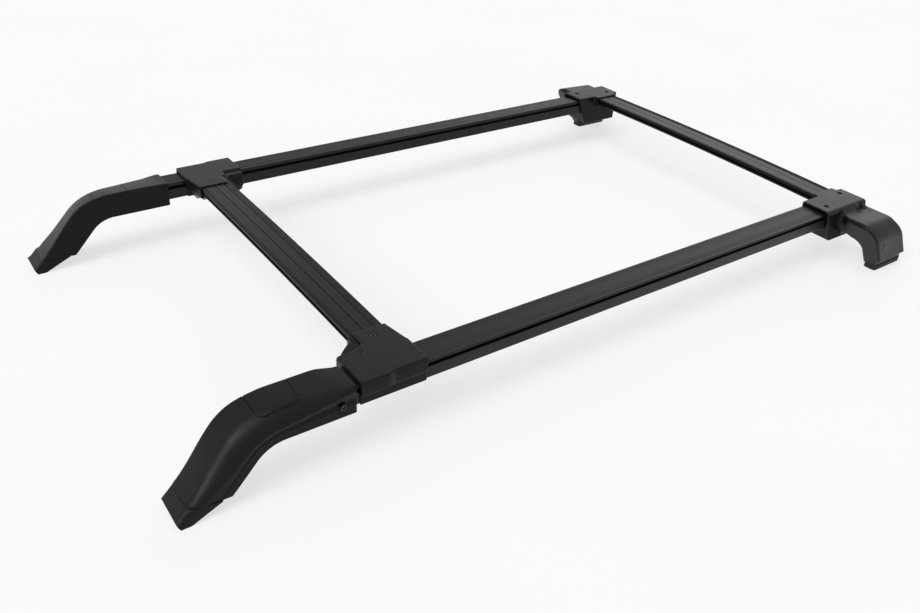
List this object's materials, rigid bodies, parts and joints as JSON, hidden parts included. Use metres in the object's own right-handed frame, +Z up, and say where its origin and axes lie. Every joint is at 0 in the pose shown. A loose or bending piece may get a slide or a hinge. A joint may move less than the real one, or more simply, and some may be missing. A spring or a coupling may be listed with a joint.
{
  "type": "roof rack with crossbars",
  "caption": "Full-length roof rack: slotted side rails with swept front feet, a sliding front crossbar on clamping carriers, and a rear crossbar between moulded corner feet.",
  "frame": {"origin": "centre of the base of the whole rack, on the flat surface that it stands on", "axes": "+X along the side rails to the rear of the vehicle, +Y to its right side, +Z up"},
  "size_m": [1.8462, 1.16, 0.156],
  "materials": {
    "moulded_plastic": "satin black, fine grain",
    "rail_aluminium": "satin black anodised, fine ridges along it",
    "bar_aluminium": "satin black anodised",
    "bracket_alloy": "as cast",
    "pad_rubber": "matte black",
    "glide_plastic": "matte black acetal",
    "fixing_steel": "black zinc coated"
  },
  "bodies": {
    "rack": {"side_rail_left": "rail_aluminium", "side_rail_right": "rail_aluminium", "front_foot_cover_left": "moulded_plastic", "front_foot_cover_right": "moulded_plastic", "nose_cap_left": "moulded_plastic", "nose_cap_right": "moulded_plastic", "front_foot_bracket_left": "bracket_alloy", "front_foot_bracket_right": "bracket_alloy", "front_foot_pad_left": "pad_rubber", "front_foot_pad_right": "pad_rubber", "front_foot_screws_left": "fixing_steel", "front_foot_screws_right": "fixing_steel", "rear_crossbar": "bar_aluminium", "corner_cover_left": "moulded_plastic", "corner_cover_right": "moulded_plastic", "corner_bracket_left": "bracket_alloy", "corner_bracket_right": "bracket_alloy", "rear_foot_pad_left": "pad_rubber", "rear_foot_pad_right": "pad_rubber", "corner_screws_left": "fixing_steel", "corner_screws_right": "fixing_steel"},
    "front_bar": {"carrier_cover_left": "moulded_plastic", "carrier_cover_right": "moulded_plastic", "carrier_glide_left": "glide_plastic", "carrier_glide_right": "glide_plastic", "carrier_bolt_left": "fixing_steel", "carrier_bolt_right": "fixing_steel", "front_crossbar": "bar_aluminium"},
    "jaw_left": {"carrier_jaw_left": "bracket_alloy"},
    "jaw_right": {"carrier_jaw_right": "bracket_alloy"},
    "hatch_left": {"foot_hatch_left": "moulded_plastic"},
    "hatch_right": {"foot_hatch_right": "moulded_plastic"}
  },
  "joints": [
    {"name": "front_bar_slide", "type": "slide", "parent": "rack", "child": "front_bar", "axis": [1, 0, 0], "range_m": [-0.0065, 1.102]},
    {"name": "jaw_release_left", "type": "slide", "parent": "front_bar", "child": "jaw_left", "axis": [0, 0, -1], "range_m": [0, 0.005]},
    {"name": "jaw_release_right", "type": "slide", "parent": "front_bar", "child": "jaw_right", "axis": [0, 0, -1], "range_m": [0, 0.005]},
    {"name": "hatch_lift_left", "type": "slide", "parent": "rack", "child": "hatch_left", "axis": [-0.0763, 0, 0.9971], "range_m": [0, 0.05]},
    {"name": "hatch_lift_right", "type": "slide", "parent": "rack", "child": "hatch_right", "axis": [-0.0763, 0, 0.9971], "range_m": [0, 0.05]}
  ]
}
